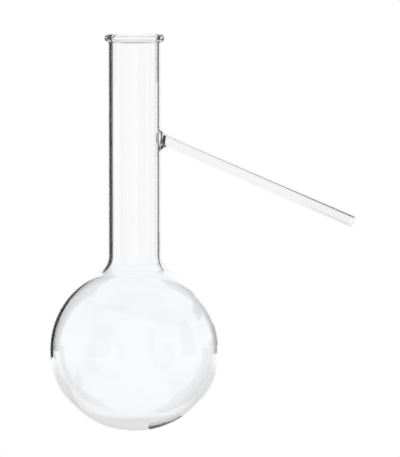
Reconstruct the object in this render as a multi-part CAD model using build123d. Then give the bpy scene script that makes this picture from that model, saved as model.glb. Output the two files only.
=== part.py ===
"""One-piece distilling flask with a side arm, in borosilicate glass.

The flask is a single piece of glass. It is written as the stretches that a glassblower makes and
names: bulb, shoulder, neck, rim bead, and the side arm with its boss, seal ring, tube and lip.
Neighbouring stretches meet face to face.

Frame, in millimetres: the origin is on the neck's axis, in the middle plane of the rim bead.
+Z runs up out of the mouth, and the side arm slopes down towards +X.
"""

from build123d import *
import math
import os

# Overall height, from the bottom of the bulb to the top of the rim.
OVERALL_HEIGHT = 244.0

# Bulb: a sphere above its widest line. Below it the sides turn in a little sooner, and the bottom is
# a little flatter, so that it is less deep than a sphere.
BULB_RADIUS = 52.5
BULB_DEPTH = 50.0
BULB_SIDE_RADIUS = 48.5
BULB_WALL = 2.0

# Neck, and the hollow curve of the shoulder under it.
NECK_RADIUS = 16.25
NECK_WALL = 2.0
SHOULDER_RADIUS = 12.0

# Rim bead, and the soft corner between it and the neck.
RIM_RADIUS = 18.5
RIM_HEIGHT = 4.7
RIM_CORNER = 0.8

# Side arm. Its root is where its axis leaves the neck's outer wall, and it slopes down from there.
ARM_RADIUS = 3.55
ARM_WALL = 1.1
ARM_LENGTH = 129.0
ARM_SLOPE = 23.4
ARM_ROOT_Z = -61.5
LIP_LENGTH = 2.4

# The blend between arm and neck, outside and inside. Next to it the arm is a little wider, outside and
# inside, and then tapers down to its own size.
ROOT_FILLET = 2.8
ROOT_INNER_FILLET = 2.0
ROOT_SWELL = 0.2
SWELL_LENGTH = 6.6
TAPER_LENGTH = 2.4

# Boss: the round patch of the neck's wall that the arm grows out of, a little below the root.
BOSS_RADIUS = 7.6
BOSS_DROP = 1.3

# Seal ring, across the arm close to the neck, where the tube was melted on. It narrows the bore.
RING_TILT = 9.0
RING_DISTANCE = 2.25
RING_LENGTH = 1.6
RING_BORE = 1.9
RING_EDGE_FILLET = 0.5

# How far the working solids at the joint run past what is kept of them.
JOINT_REACH = 15.0

# Worked out from the above.
NECK_BORE = NECK_RADIUS - NECK_WALL
ARM_BORE = ARM_RADIUS - ARM_WALL
RIM_ROUND = RIM_HEIGHT / 2
BULB_CENTRE_Z = RIM_ROUND - OVERALL_HEIGHT + BULB_DEPTH
BULB_SIDE_REACH = BULB_RADIUS - BULB_SIDE_RADIUS
BULB_BOTTOM_RADIUS = BULB_DEPTH + (BULB_SIDE_REACH**2 - (BULB_DEPTH - BULB_SIDE_RADIUS) ** 2) / (
    2 * (BULB_DEPTH - BULB_SIDE_RADIUS)
)
SHOULDER_RISE = math.sqrt((BULB_RADIUS + SHOULDER_RADIUS) ** 2 - (NECK_RADIUS + SHOULDER_RADIUS) ** 2)
NECK_BOTTOM_Z = BULB_CENTRE_Z + SHOULDER_RISE
RIM_CORNER_REACH = NECK_RADIUS + RIM_CORNER - (RIM_RADIUS - RIM_ROUND)
RIM_FOOT_Z = -math.sqrt((RIM_ROUND + RIM_CORNER) ** 2 - RIM_CORNER_REACH**2)


def direction_at(slope):
    """Unit vector in the XZ plane, sloping down from +X by the given angle."""
    return Vector(math.cos(math.radians(slope)), 0, -math.sin(math.radians(slope)))


ARM_DIRECTION = direction_at(ARM_SLOPE)
ARM_ROOT = Vector(NECK_RADIUS, 0, ARM_ROOT_Z)
ARM_FRAME = Plane(origin=ARM_ROOT, z_dir=ARM_DIRECTION)
RING_FRAME = Plane(origin=ARM_ROOT + ARM_DIRECTION * RING_DISTANCE, z_dir=direction_at(RING_TILT))


class BodyOutline:
    """The outer or the inner outline of bulb and shoulder, as arcs in radius and height.

    Each arc touches its neighbours, and the shoulder's ends at the bottom of the neck. The inner
    outline lies a wall's thickness inside the outer one.
    """

    def __init__(self, neck_radius, wall):
        bulb_radius = BULB_RADIUS - wall
        bottom_rise = BULB_BOTTOM_RADIUS - BULB_DEPTH
        side_start = -math.degrees(math.atan2(bottom_rise, BULB_SIDE_REACH))
        fillet = (SHOULDER_RISE**2 / (bulb_radius - neck_radius) - bulb_radius - neck_radius) / 2
        lean = math.degrees(math.atan2(SHOULDER_RISE, neck_radius + fillet))
        bottom_centre = (0, BULB_CENTRE_Z + bottom_rise)
        side_centre = (BULB_SIDE_REACH, BULB_CENTRE_Z)
        self.bottom = CenterArc(bottom_centre, BULB_BOTTOM_RADIUS - wall, -90, 90 + side_start)
        self.side = CenterArc(side_centre, BULB_SIDE_RADIUS - wall, side_start, -side_start)
        self.top = CenterArc((0, BULB_CENTRE_Z), bulb_radius, 0, lean)
        self.shoulder = CenterArc((neck_radius + fillet, NECK_BOTTOM_Z), fillet, 180, lean)


OUTSIDE = BodyOutline(NECK_RADIUS, 0)
INSIDE = BodyOutline(NECK_BORE, BULB_WALL)


def turned(edges):
    """Solid of revolution about Z of a closed outline given in radius and height."""
    return revolve(Plane.XZ * make_face(edges), axis=Axis.Z)


def make_bulb():
    joint = Line(OUTSIDE.top @ 1, INSIDE.top @ 1)
    on_axis = Line(INSIDE.bottom @ 0, OUTSIDE.bottom @ 0)
    outer = [OUTSIDE.bottom, OUTSIDE.side, OUTSIDE.top]
    inner = [INSIDE.top, INSIDE.side, INSIDE.bottom]
    return turned([*outer, joint, *inner, on_axis])


def make_shoulder():
    joint = Line(OUTSIDE.top @ 1, INSIDE.top @ 1)
    neck_joint = Line(OUTSIDE.shoulder @ 0, INSIDE.shoulder @ 0)
    return turned([OUTSIDE.shoulder, joint, INSIDE.shoulder, neck_joint])


def make_rim_bead():
    """Round bead whose inner side is flush with the neck's bore, with a soft corner under it."""
    centre = RIM_RADIUS - RIM_ROUND
    inner_round = centre - NECK_BORE
    inner_z = RIM_ROUND - inner_round
    foot_angle = math.degrees(math.atan2(RIM_FOOT_Z, RIM_CORNER_REACH))
    corner_centre = (NECK_RADIUS + RIM_CORNER, RIM_FOOT_Z)
    outer = CenterArc((centre, 0), RIM_ROUND, foot_angle, 90 - foot_angle)
    inner = CenterArc((centre, inner_z), inner_round, 90, 90)
    bore = Line((NECK_BORE, inner_z), (NECK_BORE, RIM_FOOT_Z))
    foot = Line((NECK_BORE, RIM_FOOT_Z), (NECK_RADIUS, RIM_FOOT_Z))
    corner = CenterArc(corner_centre, RIM_CORNER, 180 + foot_angle, -foot_angle)
    return turned([outer, inner, bore, foot, corner])


def standing(radius, low_z, high_z):
    """Cylinder about Z between two heights."""
    bottom = (Align.CENTER, Align.CENTER, Align.MIN)
    return Pos(0, 0, low_z) * Cylinder(radius, high_z - low_z, align=bottom)


def boss_window():
    """The round patch of the neck's wall that the arm grows out of, as a cylinder along +X."""
    along_x = Plane(origin=(NECK_BORE / 2, 0, ARM_ROOT_Z - BOSS_DROP), z_dir=(1, 0, 0))
    return along_x * standing(BOSS_RADIUS, 0, 2 * JOINT_REACH)


def make_neck():
    outer = standing(NECK_RADIUS, NECK_BOTTOM_Z, RIM_FOOT_Z)
    bore = standing(NECK_BORE, NECK_BOTTOM_Z, RIM_FOOT_Z)
    return outer - bore - boss_window()


def blended(neck_radius, arm_radius, arm_end, fillet_radius):
    """A stretch of solid neck with a solid arm growing out of it, blended with a fillet."""
    neck = standing(neck_radius, ARM_ROOT_Z - JOINT_REACH, ARM_ROOT_Z + JOINT_REACH)
    arm_start = -neck_radius / 2
    swollen_radius = arm_radius + ROOT_SWELL
    taper_end = SWELL_LENGTH + TAPER_LENGTH
    outline = Polyline(
        (0, arm_start),
        (swollen_radius, arm_start),
        (swollen_radius, SWELL_LENGTH),
        (arm_radius, taper_end),
        (arm_radius, arm_end),
        (0, arm_end),
        close=True,
    )
    arm = ARM_FRAME * turned(outline)
    both = neck + arm
    return fillet(new_edges(neck, arm, combined=both), fillet_radius)


def make_side_arm():
    """Boss, seal ring and tube, cut from one blended joint by the ring's two faces."""
    tube_end = ARM_LENGTH - LIP_LENGTH
    outer = blended(NECK_RADIUS, ARM_RADIUS, tube_end, ROOT_FILLET)
    inner = blended(NECK_BORE, ARM_BORE, ARM_LENGTH, ROOT_INNER_FILLET)
    glass = outer - inner
    half = RING_LENGTH / 2
    before_ring = RING_FRAME * standing(2 * JOINT_REACH, -2 * JOINT_REACH, -half)
    past_ring = RING_FRAME * standing(ARM_LENGTH, half, 2 * ARM_LENGTH)
    boss = glass & boss_window() & before_ring
    tube = glass & past_ring
    disc = outer & (RING_FRAME * standing(BOSS_RADIUS, -half, half))
    ring_bore = ARM_FRAME * standing(RING_BORE, -JOINT_REACH, JOINT_REACH)
    drilled = disc - ring_bore
    seal_ring = fillet(new_edges(disc, ring_bore, combined=drilled), RING_EDGE_FILLET)
    return boss, seal_ring, tube


def make_side_arm_lip():
    """Last stretch of the arm, its end melted round."""
    end_round = ARM_WALL / 2
    round_z = LIP_LENGTH - end_round
    outer = Line((ARM_RADIUS, 0), (ARM_RADIUS, round_z))
    end = CenterArc((ARM_BORE + end_round, round_z), end_round, 0, 180)
    inner = Line((ARM_BORE, round_z), (ARM_BORE, 0))
    face = Line((ARM_BORE, 0), (ARM_RADIUS, 0))
    lip = turned([outer, end, inner, face])
    return ARM_FRAME * (Pos(0, 0, ARM_LENGTH - LIP_LENGTH) * lip)


def make_flask():
    boss, seal_ring, tube = make_side_arm()
    return {
        "bulb": make_bulb(),
        "shoulder": make_shoulder(),
        "neck": make_neck(),
        "rim_bead": make_rim_bead(),
        "side_arm_boss": boss,
        "side_arm_seal_ring": seal_ring,
        "side_arm_tube": tube,
        "side_arm_lip": make_side_arm_lip(),
    }


def main():
    os.makedirs("parts", exist_ok=True)
    for node, solid in make_flask().items():
        export_step(solid, f"parts/{node}.step")


main()
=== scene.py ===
import math

import bpy
import numpy as np
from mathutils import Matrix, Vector


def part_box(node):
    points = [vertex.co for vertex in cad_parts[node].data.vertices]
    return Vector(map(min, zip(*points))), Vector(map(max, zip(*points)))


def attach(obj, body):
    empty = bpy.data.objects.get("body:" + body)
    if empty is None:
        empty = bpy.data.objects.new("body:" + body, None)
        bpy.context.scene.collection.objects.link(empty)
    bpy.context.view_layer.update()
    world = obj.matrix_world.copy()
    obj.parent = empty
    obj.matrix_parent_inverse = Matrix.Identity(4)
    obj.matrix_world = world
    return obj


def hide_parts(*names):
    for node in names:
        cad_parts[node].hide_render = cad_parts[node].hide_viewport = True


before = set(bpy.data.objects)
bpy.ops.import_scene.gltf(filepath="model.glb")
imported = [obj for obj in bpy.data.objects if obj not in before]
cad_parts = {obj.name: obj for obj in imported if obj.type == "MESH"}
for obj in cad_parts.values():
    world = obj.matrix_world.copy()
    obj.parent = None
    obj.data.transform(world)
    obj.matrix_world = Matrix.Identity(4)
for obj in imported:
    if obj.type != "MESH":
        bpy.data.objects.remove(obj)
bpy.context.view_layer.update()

MM = 0.001

# ---------------------------------------------------------------- sizes, in millimetres
# From the boxes of the CAD nodes.
bulb_low, bulb_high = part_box("bulb")
neck_low, neck_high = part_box("neck")
_, rim_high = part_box("rim_bead")

BULB_RADIUS = bulb_high.y / MM
NECK_RADIUS = neck_high.y / MM
NECK_BOTTOM = neck_low.z / MM
RIM_RADIUS = rim_high.x / MM
RIM_ROUND = rim_high.z / MM  # radius of the bead's own round section
FLASK_BOTTOM = bulb_low.z / MM

# The CAD's other dimensions, which no box gives.
WALL = 2.0
BULB_DEPTH = 50.0
BULB_SIDE_RADIUS = 48.5
SHOULDER_RADIUS = 12.0
RIM_CORNER = 0.8
ARM_RADIUS = 3.55
ARM_WALL = 1.1
ARM_LENGTH = 129.0
ARM_SLOPE = math.radians(23.4)
ARM_ROOT_Z = -61.5
LIP_LENGTH = 2.4
ROOT_FILLET = 2.8
ROOT_SWELL = 0.2
SWELL_LENGTH = 6.6
TAPER_LENGTH = 2.4
RING_TILT = math.radians(9.0)
RING_LENGTH = 1.6

# Inside the joint the glass differs from the CAD: a wider blend, and a ring nearer the neck that doesn't
# narrow the bore.
ROOT_INNER_FILLET = 3.0
RING_DISTANCE = 1.9

# Worked out from the above.
NECK_BORE = NECK_RADIUS - WALL
ARM_BORE = ARM_RADIUS - ARM_WALL
BULB_CENTRE = FLASK_BOTTOM + BULB_DEPTH
BEAD_CENTRE = RIM_RADIUS - RIM_ROUND
SIDE_REACH = BULB_RADIUS - BULB_SIDE_RADIUS
BOTTOM_RADIUS = BULB_DEPTH + (SIDE_REACH**2 - (BULB_DEPTH - BULB_SIDE_RADIUS) ** 2) / (
    2 * (BULB_DEPTH - BULB_SIDE_RADIUS)
)
SHOULDER_RISE = math.sqrt((BULB_RADIUS + SHOULDER_RADIUS) ** 2 - (NECK_RADIUS + SHOULDER_RADIUS) ** 2)
TUBE_START = SWELL_LENGTH + TAPER_LENGTH
TUBE_END = ARM_LENGTH - LIP_LENGTH

# ALONG runs down the arm, ABOVE is square to it and up, and ACROSS is square to both.
ALONG = np.array([math.cos(ARM_SLOPE), 0.0, -math.sin(ARM_SLOPE)])
ABOVE = np.array([math.sin(ARM_SLOPE), 0.0, math.cos(ARM_SLOPE)])
ACROSS = np.array([0.0, 1.0, 0.0])
ROOT = np.array([NECK_RADIUS, 0.0, ARM_ROOT_Z])
RING_NORMAL = np.array([math.cos(RING_TILT), 0.0, -math.sin(RING_TILT)])
RING_UP = np.array([math.sin(RING_TILT), 0.0, math.cos(RING_TILT)])
RING_CENTRE = ROOT + RING_DISTANCE * ALONG

# ---------------------------------------------------------------- mesh fineness
TURNS = 192  # points round the flask
BULB_BOTTOM_STEPS = 22
BULB_SIDE_STEPS = 26
BULB_TOP_STEPS = 34
SHOULDER_STEPS = 16
NECK_STEPS_BELOW = 30  # below the patch round the arm
NECK_STEPS_ABOVE = 24
RIM_CORNER_STEPS = 10
BEAD_STEPS = 28
ROUNDING_STEPS = 16

# The patch: the cells of the neck that are left out, for the arm to join.
PATCH_HALF = 13  # cells each side of the arm, round the neck
PATCH_TOP = -53.5
PATCH_BOTTOM = -72.0
PATCH_ROWS = 18
PATCH_LOOPS = 5
FILLET_STEPS = 12
TAPER_STEPS = 4
TUBE_STEPS = 40
LIP_STEPS = 12

# How far the arm's points have moved to even spacing at the end of the swell and of the taper, and the
# number of the tube's rows in which they would move all the way.
SWELL_SHARE = 0.25
TAPER_SHARE = 0.5
EVENING_ROWS = 20

TOUCHING = 1e-6  # lengths closer than this are the same


# ---------------------------------------------------------------- the outline, in (radius, height)
def arc(centre, radius, start, stop, steps):
    """Points along an arc between two angles, in degrees."""
    angles = np.radians(np.linspace(start, stop, steps + 1))
    return [(centre[0] + radius * math.cos(a), centre[1] + radius * math.sin(a)) for a in angles]


def body_outline(neck_radius, inset):
    """Bulb and shoulder from the bottom pole up to the foot of the neck, as (node, points) stretches."""
    bulb_radius = BULB_RADIUS - inset
    rise = BOTTOM_RADIUS - BULB_DEPTH
    side_start = -math.degrees(math.atan2(rise, SIDE_REACH))
    fillet = (SHOULDER_RISE**2 / (bulb_radius - neck_radius) - bulb_radius - neck_radius) / 2
    lean = math.degrees(math.atan2(SHOULDER_RISE, neck_radius + fillet))
    bottom = arc((0, BULB_CENTRE + rise), BOTTOM_RADIUS - inset, -90, side_start, BULB_BOTTOM_STEPS)
    side = arc((SIDE_REACH, BULB_CENTRE), BULB_SIDE_RADIUS - inset, side_start, 0, BULB_SIDE_STEPS)
    top = arc((0, BULB_CENTRE), bulb_radius, 0, lean, BULB_TOP_STEPS)
    shoulder = arc((neck_radius + fillet, NECK_BOTTOM), fillet, 180 + lean, 180, SHOULDER_STEPS)
    return [("bulb", bottom), ("bulb", side), ("bulb", top), ("shoulder", shoulder)]


def neck_heights(top):
    """Heights of the neck's rows, which keep the patch round the arm as whole cells."""
    below = np.linspace(NECK_BOTTOM, PATCH_BOTTOM, NECK_STEPS_BELOW + 1)
    patch = np.linspace(PATCH_BOTTOM, PATCH_TOP, PATCH_ROWS + 1)
    above = np.linspace(PATCH_TOP, top, NECK_STEPS_ABOVE + 1)
    return [*below, *patch[1:], *above[1:]]


def rim_outline():
    """Soft corner, bead and the rounding into the bore, from the neck's outside to its inside.

    Returns the heights at which the outer and the inner wall of the neck end, and the stretches.
    """
    reach = NECK_RADIUS + RIM_CORNER - BEAD_CENTRE
    foot = -math.sqrt((RIM_ROUND + RIM_CORNER) ** 2 - reach**2)
    turn = math.degrees(math.atan2(foot, reach))
    inner = BEAD_CENTRE - NECK_BORE
    corner = arc((NECK_RADIUS + RIM_CORNER, foot), RIM_CORNER, 180, 180 + turn, RIM_CORNER_STEPS)
    bead = arc((BEAD_CENTRE, 0), RIM_ROUND, turn, 90, BEAD_STEPS)
    rounding = arc((BEAD_CENTRE, RIM_ROUND - inner), inner, 90, 180, ROUNDING_STEPS)
    return foot, RIM_ROUND - inner, [("rim_bead", corner), ("rim_bead", bead), ("rim_bead", rounding)]


class Shell:
    """Points and faces of the whole glass surface, with the CAD node that each face belongs to."""

    def __init__(self):
        self.points = []
        self.faces = []
        self.nodes = []

    def loop(self, points):
        """Adds points and returns their numbers."""
        start = len(self.points)
        self.points.extend([tuple(p) for p in points])
        return list(range(start, start + len(points)))

    def face(self, corners, node):
        self.faces.append(tuple(corners))
        self.nodes.append(node)

    def bridge(self, low, high, node, skip=()):
        """Quads between two closed loops of the same length."""
        count = len(low)
        for i in range(count):
            if i not in skip:
                j = (i + 1) % count
                self.face((low[i], low[j], high[j], high[i]), node)


def turned(radius, height):
    """The points of one loop round the flask's axis."""
    angles = 2 * np.pi * np.arange(TURNS) / TURNS
    return np.stack([radius * np.cos(angles), radius * np.sin(angles), np.full(TURNS, height)], axis=1)


def revolve(shell, stretches):
    """Adds the points of a surface of revolution: a loop for each point of its outline, or a single pole.

    Returns the outline, the node that owns the step up to each of its points, and the loops.
    """
    outline, owners = [], []
    for name, stretch in stretches:
        for spot in stretch[1:] if outline else stretch:
            outline.append(spot)
            owners.append(name)
    rows = []
    for radius, height in outline:
        rows.append(shell.loop([(0, 0, height)] if radius < TOUCHING else turned(radius, height)))
    return outline, owners, rows


def cap(shell, low, high, node):
    """Triangles between a pole and the loop next to it."""
    for i in range(TURNS):
        j = (i + 1) % TURNS
        shell.face((low[0], high[j], high[i]) if len(low) == 1 else (high[0], low[i], low[j]), node)


def build_body(shell):
    """All of the flask but the arm. Returns the rows of points at the patch, by wall and height."""
    foot, bore_top, rim = rim_outline()
    outer_neck = [("neck", [(NECK_RADIUS, z) for z in neck_heights(foot)])]
    inner_neck = [("neck", [(NECK_BORE, z) for z in neck_heights(bore_top)][::-1])]
    inside = [(name, stretch[::-1]) for name, stretch in body_outline(NECK_BORE, WALL)][::-1]
    stretches = body_outline(NECK_RADIUS, 0) + outer_neck + rim + inner_neck + inside
    outline, owners, rows = revolve(shell, stretches)
    patches = {"outer": {}, "inner": {}}
    cells = {i % TURNS for i in range(-PATCH_HALF, PATCH_HALF)}
    for k in range(len(rows) - 1):
        low, high, owner = rows[k], rows[k + 1], owners[k + 1]
        if len(low) == 1 or len(high) == 1:
            cap(shell, low, high, owner)
            continue
        (r0, z0), (r1, z1) = outline[k], outline[k + 1]
        in_patch = (
            owner == "neck"
            and min(z0, z1) >= PATCH_BOTTOM - TOUCHING
            and max(z0, z1) <= PATCH_TOP + TOUCHING
        )
        shell.bridge(low, high, owner, skip=cells if in_patch else ())
        if in_patch:
            wall = "outer" if r0 > (NECK_RADIUS + NECK_BORE) / 2 else "inner"
            patches[wall][round(z0, 6)] = low
            patches[wall][round(z1, 6)] = high
    return patches


# ---------------------------------------------------------------- the side arm
def patch_boundary(rows):
    """The edge of the patch, going round once: its point numbers, and each one's (angle, height)."""
    heights = sorted(rows)
    left, right = -PATCH_HALF, PATCH_HALF
    edge = [(right, z) for z in heights]
    edge += [(i, heights[-1]) for i in range(right - 1, left - 1, -1)]
    edge += [(left, z) for z in heights[::-1][1:]]
    edge += [(i, heights[0]) for i in range(left + 1, right)]
    return [rows[z][i % TURNS] for i, z in edge], [(2 * math.pi * i / TURNS, z) for i, z in edge]


def outward(angles):
    """Unit vectors square to the arm's axis, at angles counted from ABOVE."""
    return np.cos(angles)[:, None] * ABOVE + np.sin(angles)[:, None] * ACROSS


def joint_loops(shell, rows, neck_radius, arm_radius, fillet):
    """Loops from the patch's edge over the rolling-ball fillet to the arm.

    Returns them with each point's angle round the arm and its distance from the root.
    """
    numbers, spots = patch_boundary(rows)
    middle = (PATCH_TOP + PATCH_BOTTOM) / 2
    angles = np.array([math.atan2(neck_radius * a, z - middle) for a, z in spots])
    reach = arm_radius + fillet
    out = outward(angles)
    across = reach * np.sin(angles)
    away = np.sqrt((neck_radius + fillet) ** 2 - across**2)
    distance = (away - ROOT[0] - reach * np.cos(angles) * ABOVE[0]) / ALONG[0]
    ball = ROOT + distance[:, None] * ALONG + reach * out
    flat = np.stack([ball[:, 0], ball[:, 1], np.zeros(len(ball))], axis=1)
    to_neck = -flat / np.linalg.norm(flat, axis=1)[:, None]
    to_arm = -out
    on_neck = ball + fillet * to_neck
    loops = [numbers]

    # on the neck's surface, from the patch's edge to the fillet
    start = np.array(spots)
    stop = np.stack([np.arctan2(on_neck[:, 1], on_neck[:, 0]), on_neck[:, 2]], axis=1)
    for k in range(1, PATCH_LOOPS):
        t = k / PATCH_LOOPS
        at = start * (1 - t) + stop * t
        ring = np.stack([neck_radius * np.cos(at[:, 0]), neck_radius * np.sin(at[:, 0]), at[:, 1]], axis=1)
        loops.append(shell.loop(ring))

    # over the fillet
    between = np.arccos(np.clip((to_neck * to_arm).sum(1), -1, 1))[:, None]
    for k in range(FILLET_STEPS + 1):
        t = k / FILLET_STEPS
        way = (np.sin((1 - t) * between) * to_neck + np.sin(t * between) * to_arm) / np.sin(between)
        loops.append(shell.loop(ball + fillet * way))
    return loops, angles, distance


def arm_ring(angles, radius, distance):
    """Points round the arm at a distance from its root, which is one length or one for each point."""
    return ROOT + np.broadcast_to(distance, angles.shape)[:, None] * ALONG + radius * outward(angles)


def even_angles(angles, share):
    """Angles that go from those of the patch's edge to evenly spaced ones."""
    count = len(angles)
    turned_by = np.unwrap(angles)
    step = (turned_by[-1] - turned_by[0]) / (count - 1)
    even = turned_by[0] + np.sign(step) * 2 * np.pi * np.arange(count) / count
    even += (turned_by - even).mean()
    return turned_by * (1 - share) + even * share


def arm_wall(shell, angles, start, radius):
    """Loops of one wall of the arm: to the end of the swell, then down the taper and along the tube."""
    loops = []
    for t in (0.5, 1.0):
        distance = start * (1 - t) + SWELL_LENGTH * t
        spread = even_angles(angles, SWELL_SHARE * t)
        loops.append(shell.loop(arm_ring(spread, radius + ROOT_SWELL, distance)))
    for t in np.linspace(0, 1, TAPER_STEPS + 1)[1:]:
        tapered = radius + ROOT_SWELL * (1 - t * t * (3 - 2 * t))
        spread = even_angles(angles, SWELL_SHARE + (TAPER_SHARE - SWELL_SHARE) * t)
        loops.append(shell.loop(arm_ring(spread, tapered, SWELL_LENGTH + TAPER_LENGTH * t)))
    for k, distance in enumerate(np.linspace(TUBE_START, TUBE_END, TUBE_STEPS + 1)[1:]):
        spread = even_angles(angles, min(1.0, TAPER_SHARE + k / EVENING_ROWS))
        loops.append(shell.loop(arm_ring(spread, radius, distance)))
    return loops


def arm_lip(shell, angles):
    """Loops of the lip, from the outer wall round its melted end to the inner wall."""
    even = even_angles(angles, 1.0)
    end_round = ARM_WALL / 2
    round_start = ARM_LENGTH - end_round
    halfway = (TUBE_END + round_start) / 2
    loops = [shell.loop(arm_ring(even, ARM_RADIUS, halfway))]
    for a in np.radians(np.linspace(0, 180, LIP_STEPS + 1)):
        radius = ARM_BORE + end_round + end_round * math.cos(a)
        loops.append(shell.loop(arm_ring(even, radius, round_start + end_round * math.sin(a))))
    loops.append(shell.loop(arm_ring(even, ARM_BORE, halfway)))
    return loops


def arm_node(spot):
    """The CAD node that the glass of the arm at a spot stands for."""
    past_ring = float((spot - RING_CENTRE) @ RING_NORMAL)
    if float((spot - ROOT) @ ALONG) > TUBE_END + TOUCHING:
        return "side_arm_lip"
    if past_ring > RING_LENGTH / 2:
        return "side_arm_tube"
    if past_ring > -RING_LENGTH / 2:
        return "side_arm_seal_ring"
    return "side_arm_boss"


def build_arm(shell, patches):
    """The arm, joined to the edges of both patches."""
    outer, angles, outer_start = joint_loops(
        shell, patches["outer"], NECK_RADIUS, ARM_RADIUS + ROOT_SWELL, ROOT_FILLET
    )
    inner, _, inner_start = joint_loops(
        shell, patches["inner"], NECK_BORE, ARM_BORE + ROOT_SWELL, ROOT_INNER_FILLET
    )
    outer += arm_wall(shell, angles, outer_start, ARM_RADIUS)
    lip = arm_lip(shell, angles)
    inner += arm_wall(shell, angles, inner_start, ARM_BORE)
    joined = outer + lip + inner[::-1]
    first = len(shell.faces)
    for low, high in zip(joined, joined[1:]):
        shell.bridge(low, high, "side_arm_tube")
    points = np.array(shell.points)
    for k in range(first, len(shell.faces)):
        shell.nodes[k] = arm_node(points[list(shell.faces[k])].mean(axis=0))


def smooth_normals(points, faces):
    """Point normals of the whole surface, weighted by area, so that pieces cut from it meet with no seam.

    The neck's points inside the patch belong to no face, and theirs are left at zero.
    """
    normals = np.zeros_like(points)
    for size in (3, 4):
        chosen = np.array([f for f in faces if len(f) == size], dtype=int)
        p = points[chosen]
        if size == 4:
            n = np.cross(p[:, 2] - p[:, 0], p[:, 3] - p[:, 1])
        else:
            n = np.cross(p[:, 1] - p[:, 0], p[:, 2] - p[:, 0])
        for k in range(size):
            np.add.at(normals, chosen[:, k], n)
    length = np.linalg.norm(normals, axis=1)[:, None]
    return normals / np.where(length > 0, length, 1)


shell = Shell()
build_arm(shell, build_body(shell))
points = np.array(shell.points)
normals = smooth_normals(points, shell.faces)


# ---------------------------------------------------------------- nodes that several materials use
def math_node(nodes, operation):
    node = nodes.new("ShaderNodeMath")
    node.operation = operation
    return node


def vector_node(nodes, operation):
    node = nodes.new("ShaderNodeVectorMath")
    node.operation = operation
    return node


def shading(nodes, start, start_level, end, end_level, kind="SMOOTHSTEP"):
    """A level that changes from one to another while its input goes from start to end."""
    shade = nodes.new("ShaderNodeMapRange")
    shade.interpolation_type = kind
    shade.inputs["From Min"].default_value = start
    shade.inputs["From Max"].default_value = end
    shade.inputs["To Min"].default_value = start_level
    shade.inputs["To Max"].default_value = end_level
    return shade


def grey(level):
    return (level, level, level, 1)


def ramp(nodes, start, start_colour, end, end_colour):
    """A colour that changes from one to another while its input goes from start to end."""
    node = nodes.new("ShaderNodeValToRGB")
    low, high = node.color_ramp.elements
    low.position = start
    low.color = start_colour
    high.position = end
    high.color = end_colour
    return node


# ---------------------------------------------------------------- glass
GLASS_IOR = 1.473
RIPPLE_DETAIL = 1.5
RIPPLE_ROUGHNESS = 0.4
CLOUD_SCALE = 22.0  # per metre
CLOUD_DETAIL = 3.0
TINT_RANGE = (0.3, 0.7)  # of the cloud
TINT_SPREAD = 0.006
HAZE_RANGE = (0.35, 0.8)  # of the cloud
HAZE_ROUGHNESS = 0.004

# A dark band of painted shade in the glass's colour at the seal ring, a little below the ring's middle.
RING_PAINTED_SHADE = 0.15
RING_SHADE_DROP = 1.6  # mm from the ring's middle down to where the glass is darkest
RING_SHADE_RADIUS = 4.8  # mm round that spot
RING_SHADE_FADE = 0.5  # mm past the radius
BAND_CORE = 0.45  # of the ring's length, to each side
BAND_END = 0.75
RING_SHADE_CENTRE = RING_CENTRE - RING_SHADE_DROP * RING_UP


def ring_painted_shade(nodes, links, place, clear):
    """Darkens the glass's colour with painted shade at the seal ring, between two planes across the arm's
    root.

    Returns the colour's socket.
    """
    shift = vector_node(nodes, "SUBTRACT")
    shift.inputs[1].default_value = tuple(RING_SHADE_CENTRE * MM)
    depth = vector_node(nodes, "DOT_PRODUCT")
    depth.inputs[1].default_value = tuple(RING_NORMAL)
    near = vector_node(nodes, "LENGTH")
    either_way = math_node(nodes, "ABSOLUTE")
    across = shading(nodes, BAND_CORE * RING_LENGTH * MM, 1, BAND_END * RING_LENGTH * MM, 0)
    around = shading(nodes, RING_SHADE_RADIUS * MM, 1, (RING_SHADE_RADIUS + RING_SHADE_FADE) * MM, 0, kind="LINEAR")
    both = math_node(nodes, "MULTIPLY")
    mix = nodes.new("ShaderNodeMix")
    mix.data_type = "RGBA"
    mix.inputs["B"].default_value = grey(RING_PAINTED_SHADE)
    links.new(place.outputs["Object"], shift.inputs[0])
    links.new(shift.outputs["Vector"], depth.inputs[0])
    links.new(depth.outputs["Value"], either_way.inputs[0])
    links.new(either_way.outputs[0], across.inputs["Value"])
    links.new(shift.outputs["Vector"], near.inputs[0])
    links.new(near.outputs["Value"], around.inputs["Value"])
    links.new(across.outputs["Result"], both.inputs[0])
    links.new(around.outputs["Result"], both.inputs[1])
    links.new(both.outputs[0], mix.inputs["Factor"])
    links.new(clear, mix.inputs["A"])
    return mix.outputs["Result"]


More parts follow.
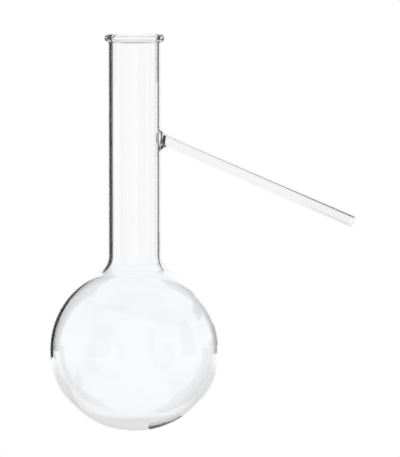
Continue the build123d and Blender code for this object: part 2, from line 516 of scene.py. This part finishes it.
def glass_material(name, size, stretch, lean, waviness, tint, ring=False):
    """Clear glass with faint ripples, an uneven tint and a trace of haze; with `ring`, also painted shade at
    the seal ring.

    The ripples are `size` mm wide, and `stretch` times as long along an axis that leans from +Z to +X.
    """
    mat = bpy.data.materials.new(name)
    mat.use_nodes = True
    nodes, links = mat.node_tree.nodes, mat.node_tree.links
    bsdf = nodes["Principled BSDF"]
    bsdf.inputs["IOR"].default_value = GLASS_IOR
    bsdf.inputs["Transmission Weight"].default_value = 1.0

    place = nodes.new("ShaderNodeTexCoord")
    turn = nodes.new("ShaderNodeMapping")
    turn.inputs["Rotation"].default_value = (0, -lean, 0)
    squeeze = nodes.new("ShaderNodeMapping")
    squeeze.inputs["Scale"].default_value = (1, 1, 1 / stretch)
    ripple = nodes.new("ShaderNodeTexNoise")
    ripple.inputs["Scale"].default_value = 1 / (size * MM)
    ripple.inputs["Detail"].default_value = RIPPLE_DETAIL
    ripple.inputs["Roughness"].default_value = RIPPLE_ROUGHNESS
    bump = nodes.new("ShaderNodeBump")
    bump.inputs["Strength"].default_value = 1.0
    bump.inputs["Distance"].default_value = waviness * MM
    links.new(place.outputs["Object"], turn.inputs["Vector"])
    links.new(turn.outputs["Vector"], squeeze.inputs["Vector"])
    links.new(squeeze.outputs["Vector"], ripple.inputs["Vector"])
    links.new(ripple.outputs["Fac"], bump.inputs["Height"])
    links.new(bump.outputs["Normal"], bsdf.inputs["Normal"])

    cloud = nodes.new("ShaderNodeTexNoise")
    cloud.inputs["Scale"].default_value = CLOUD_SCALE
    cloud.inputs["Detail"].default_value = CLOUD_DETAIL
    deepest = (*(c - TINT_SPREAD for c in tint), 1)
    palest = (*(c + TINT_SPREAD for c in tint), 1)
    shade = ramp(nodes, TINT_RANGE[0], deepest, TINT_RANGE[1], palest)
    haze = shading(nodes, HAZE_RANGE[0], 0.0, HAZE_RANGE[1], HAZE_ROUGHNESS, kind="LINEAR")
    links.new(place.outputs["Object"], cloud.inputs["Vector"])
    links.new(cloud.outputs["Fac"], shade.inputs["Fac"])
    colour = shade.outputs["Color"]
    # painted shade: the seal ring's darkness, put into the glass's colour
    if ring:
        colour = ring_painted_shade(nodes, links, place, colour)
    links.new(colour, bsdf.inputs["Base Color"])
    links.new(cloud.outputs["Fac"], haze.inputs["Value"])
    links.new(haze.outputs["Result"], bsdf.inputs["Roughness"])
    return mat


ARM_LEAN = math.pi / 2 + ARM_SLOPE
BULB_TINT = (0.978, 0.980, 0.986)
NECK_TINT = (0.985, 0.985, 0.985)
ARM_TINT = (0.955, 0.957, 0.958)
blown = glass_material("blown_glass", size=16, stretch=1, lean=0, waviness=0.012, tint=BULB_TINT)
# fused glass for the boss and the seal ring, with painted shade at the ring
fused_glass_and_painted_shade = glass_material(
    "fused_glass_weld_and_painted_shade", size=3, stretch=1, lean=0, waviness=0.004, tint=NECK_TINT, ring=True
)
drawn_neck = glass_material("drawn_glass_neck", size=4, stretch=18, lean=0, waviness=0.0035, tint=NECK_TINT)
# the arm's glass carries the seal ring's painted shade near its root as well
drawn_arm = glass_material(
    "drawn_glass_arm", size=2, stretch=40, lean=ARM_LEAN, waviness=0.0008, tint=ARM_TINT, ring=True
)
glass_of = {
    "neck": drawn_neck,
    "side_arm_tube": drawn_arm,
    "side_arm_boss": fused_glass_and_painted_shade,
    "side_arm_seal_ring": fused_glass_and_painted_shade,
}

# ---------------------------------------------------------------- the pieces, one for each CAD node
for node in sorted(set(shell.nodes)):
    chosen = [f for f, n in zip(shell.faces, shell.nodes) if n == node]
    used = sorted({i for f in chosen for i in f})
    number = {old: new for new, old in enumerate(used)}
    mesh = bpy.data.meshes.new("glass_" + node)
    mesh.from_pydata([tuple(points[i] * MM) for i in used], [], [[number[i] for i in f] for f in chosen])
    mesh.polygons.foreach_set("use_smooth", [True] * len(mesh.polygons))
    mesh.normals_split_custom_set_from_vertices([tuple(normals[i]) for i in used])
    mesh.materials.append(glass_of.get(node, blown))
    piece = bpy.data.objects.new("glass_" + node, mesh)
    bpy.context.scene.collection.objects.link(piece)
    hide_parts(node)
    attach(piece, "root")

# ---------------------------------------------------------------- stage and light, in metres
scene = bpy.context.scene
scene.view_settings.view_transform = "Standard"
scene.cycles.max_bounces = 32
scene.cycles.transmission_bounces = 32
scene.cycles.glossy_bounces = 16
scene.cycles.transparent_max_bounces = 16

SCREEN_RADIUS = 0.5
SCREEN_TOP = 0.45
LOW_TOP = 0.12
CARD_STEPS = 12
FADE_BOTTOM = 0.02  # heights between which a card goes from its lower to its upper level
FADE_TOP = 0.34
DARK = (0.004, 0.004)
DARK_FADING = (0.004, 0.03)
FLOOR_Z = FLASK_BOTTOM * MM
FLOOR_HALF = 3.0
CARD_LIFT = 0.1 * MM
FLOOR_CARD_Z = FLOOR_Z + CARD_LIFT
# the brightness of the painted shade on the floor under the bulb's right side
FLOOR_SHADE_LEVEL = 0.12

# The lane over the floor, and the darker areas of painted shade on both sides of it.
LANE_EDGE = (0.036, 0.056)
LANE_WIDENING = 0.13
SIDE_END = (0.15, 0.31)
SIDE_LEVEL = 0.76

# The contact shade where the flask stands.
CONTACT_EDGE = (0.024, 0.046)
CONTACT_SQUASH = 0.35
CONTACT_LEVEL = 0.74

SKY_LEVEL = 0.94
ZENITH_LEVEL = 0.75
SKY_CHANGE = (0.65, 0.97)


def seen_white(tree, light):
    """A shader that looks white to the camera, and gives `light` to rays that come from the glass."""
    mix = tree.nodes.new("ShaderNodeMixShader")
    path = tree.nodes.new("ShaderNodeLightPath")
    white = tree.nodes.new("ShaderNodeEmission")
    tree.links.new(path.outputs["Is Camera Ray"], mix.inputs["Fac"])
    tree.links.new(light.outputs[0], mix.inputs[1])
    tree.links.new(white.outputs[0], mix.inputs[2])
    return mix


def stage_piece(name, corners, faces, material):
    mesh = bpy.data.meshes.new(name)
    mesh.from_pydata(corners, [], faces)
    mesh.materials.append(material)
    piece = bpy.data.objects.new(name, mesh)
    scene.collection.objects.link(piece)
    return piece


def card_material(name, level, top_level):
    """Glows evenly up to one height, and changes smoothly to another level above it."""
    mat = bpy.data.materials.new(name)
    mat.use_nodes = True
    tree = mat.node_tree
    tree.nodes.clear()
    out = tree.nodes.new("ShaderNodeOutputMaterial")
    place = tree.nodes.new("ShaderNodeTexCoord")
    split = tree.nodes.new("ShaderNodeSeparateXYZ")
    fall = shading(tree.nodes, FADE_BOTTOM, level, FADE_TOP, top_level)
    light = tree.nodes.new("ShaderNodeEmission")
    tree.links.new(place.outputs["Object"], split.inputs[0])
    tree.links.new(split.outputs["Z"], fall.inputs["Value"])
    tree.links.new(fall.outputs["Result"], light.inputs["Color"])
    tree.links.new(light.outputs[0], out.inputs["Surface"])
    return mat


def card(name, corners, faces, levels):
    """A stage piece that the camera doesn't see, with its brightness low down and high up."""
    piece = stage_piece(name, corners, faces, card_material(name, *levels))
    piece.visible_camera = False


def curved_card(name, bearings, foot, head, levels):
    """A card round the flask, from one bearing to another: degrees from +Y, counted towards -X.

    `foot` and `head` are the radius and height of its two edges.
    """
    angles = np.radians(np.linspace(*bearings, CARD_STEPS + 1))
    corners = [(-r * math.sin(a), r * math.cos(a), z) for r, z in (foot, head) for a in angles]
    faces = [(k, k + 1, CARD_STEPS + 2 + k, CARD_STEPS + 1 + k) for k in range(CARD_STEPS)]
    card(name, corners, faces, levels)


def screen(name, bearings, levels, radius=SCREEN_RADIUS, bottom=FLOOR_Z, top=SCREEN_TOP):
    """A curved card that stands upright."""
    curved_card(name, bearings, (radius, bottom), (radius, top), levels)


def flat_distance(tree, place, scale_x):
    """Distance over the floor from the middle, with what lies along X counted `scale_x` times."""
    flat = vector_node(tree.nodes, "MULTIPLY")
    flat.inputs[1].default_value = (scale_x, 1, 0)
    distance = vector_node(tree.nodes, "LENGTH")
    tree.links.new(place.outputs["Object"], flat.inputs[0])
    tree.links.new(flat.outputs["Vector"], distance.inputs[0])
    return distance.outputs["Value"]


def floor_material():
    """White to the camera. Glass sees it a little darker left and right of the flask, and where it stands."""
    mat = bpy.data.materials.new("floor")
    mat.use_nodes = True
    tree = mat.node_tree
    nodes = tree.nodes
    nodes.clear()
    out = nodes.new("ShaderNodeOutputMaterial")
    place = nodes.new("ShaderNodeTexCoord")
    split = nodes.new("ShaderNodeSeparateXYZ")
    tree.links.new(place.outputs["Object"], split.inputs[0])

    # the lane: bright in front of the flask and behind it, and wider further out, with a darker area of
    # painted shade on its left and on its right
    across = math_node(nodes, "ABSOLUTE")
    along = math_node(nodes, "ABSOLUTE")
    widening = math_node(nodes, "MULTIPLY")
    widening.inputs[1].default_value = LANE_WIDENING
    off_lane = math_node(nodes, "SUBTRACT")
    lane = shading(nodes, LANE_EDGE[0], 1, LANE_EDGE[1], SIDE_LEVEL)
    side_end = shading(nodes, SIDE_END[0], SIDE_LEVEL, SIDE_END[1], 1)
    sides = math_node(nodes, "MAXIMUM")
    tree.links.new(split.outputs["X"], across.inputs[0])
    tree.links.new(split.outputs["Y"], along.inputs[0])
    tree.links.new(along.outputs[0], widening.inputs[0])
    tree.links.new(across.outputs[0], off_lane.inputs[0])
    tree.links.new(widening.outputs[0], off_lane.inputs[1])
    tree.links.new(off_lane.outputs[0], lane.inputs["Value"])
    tree.links.new(flat_distance(tree, place, 1), side_end.inputs["Value"])
    tree.links.new(lane.outputs["Result"], sides.inputs[0])
    tree.links.new(side_end.outputs["Result"], sides.inputs[1])

    # the contact shade, longer from left to right than from front to back
    contact = shading(nodes, CONTACT_EDGE[0], CONTACT_LEVEL, CONTACT_EDGE[1], 1)
    tree.links.new(flat_distance(tree, place, CONTACT_SQUASH), contact.inputs["Value"])

    both = math_node(nodes, "MULTIPLY")
    light = nodes.new("ShaderNodeEmission")
    tree.links.new(sides.outputs[0], both.inputs[0])
    tree.links.new(contact.outputs["Result"], both.inputs[1])
    tree.links.new(both.outputs[0], light.inputs["Color"])
    tree.links.new(seen_white(tree, light).outputs[0], out.inputs["Surface"])
    return mat


def studio_world():
    """White to the camera. Glass sees a pale sky, which is darker overhead."""
    world = bpy.data.worlds.new("studio")
    world.use_nodes = True
    tree = world.node_tree
    tree.nodes.clear()
    out = tree.nodes.new("ShaderNodeOutputWorld")
    sky = tree.nodes.new("ShaderNodeBackground")
    place = tree.nodes.new("ShaderNodeTexCoord")
    split = tree.nodes.new("ShaderNodeSeparateXYZ")
    height = ramp(tree.nodes, SKY_CHANGE[0], grey(SKY_LEVEL), SKY_CHANGE[1], grey(ZENITH_LEVEL))
    tree.links.new(place.outputs["Generated"], split.inputs[0])
    tree.links.new(split.outputs["Z"], height.inputs["Fac"])
    tree.links.new(height.outputs["Color"], sky.inputs["Color"])
    tree.links.new(seen_white(tree, sky).outputs[0], out.inputs["Surface"])
    return world


scene.world = studio_world()

floor_corners = [(x * FLOOR_HALF, y * FLOOR_HALF, FLOOR_Z) for x, y in ((-1, -1), (1, -1), (1, 1), (-1, 1))]
stage_piece("floor", floor_corners, [(0, 1, 2, 3)], floor_material())

# a dark card on the floor, under the bulb's right side, with its outline in millimetres: painted shade that
# only the glass sees
shade_outline = [(9, -13), (20, -7), (33, 10), (33, 27), (20, 13), (9, 8)]
shade_corners = [(x * MM, y * MM, FLOOR_CARD_Z) for x, y in shade_outline]
card("floor_painted_shade_right", shade_corners, [range(len(shade_outline))], (FLOOR_SHADE_LEVEL, FLOOR_SHADE_LEVEL))

# another one on the floor behind on the left, and the screens, from straight behind round by the left
curved_card("floor_card_left", (20.5, 40), (0.395, FLOOR_CARD_Z), (SCREEN_RADIUS, FLOOR_CARD_Z), DARK)
screen("screen_back", (-28, 20.5), (1.0, 0.72))
screen("screen_back_left", (20.5, 40), DARK_FADING)
screen("screen_back_left_far", (40, 62), DARK_FADING, radius=0.7, top=0.63)
screen("screen_left", (62, 118), (1.0, 0.6))
screen("screen_front_left", (118, 150), (0.6, 0.6), top=LOW_TOP)
screen("screen_front_right", (198, 207), (0.5, 0.5), top=LOW_TOP)
screen("screen_right_corner", (207, 246), (0.97, 0.6))
screen("screen_right", (246, 268), (0.45, 0.45), top=LOW_TOP)
screen("screen_back_right", (310, 326), (0.04, 0.1))
screen("screen_right_low", (326, 338), (0.5, 0.5), bottom=-0.215, top=-0.14)
screen("screen_right_high", (326, 333), (0.05, 0.05), bottom=0.02)
screen("screen_rim_right", (290, 317), DARK, radius=0.45, bottom=-0.02, top=0.08)

# ---------------------------------------------------------------- camera
# It looks along +Y, level with the neck and a little down.
CAMERA_DISTANCE = 1600.0
CAMERA_TILT = math.radians(2.3)
PICTURE_HEIGHT = 281.6  # what the camera sees at the flask, in millimetres
AIM = Vector((40.2, 0, FLASK_BOTTOM + 124.7)) * MM  # the middle of the picture
SENSOR = 36.0
camera_data = bpy.data.cameras.new("camera")
camera_data.sensor_fit = "AUTO"
camera_data.sensor_width = SENSOR
camera_data.lens = SENSOR * CAMERA_DISTANCE / PICTURE_HEIGHT
camera = bpy.data.objects.new("camera", camera_data)
scene.collection.objects.link(camera)
back = Vector((0, -math.cos(CAMERA_TILT), math.sin(CAMERA_TILT)))
camera.location = AIM + CAMERA_DISTANCE * MM * back
camera.rotation_mode = "QUATERNION"
camera.rotation_quaternion = back.to_track_quat("Z", "Y")
scene.camera = camera
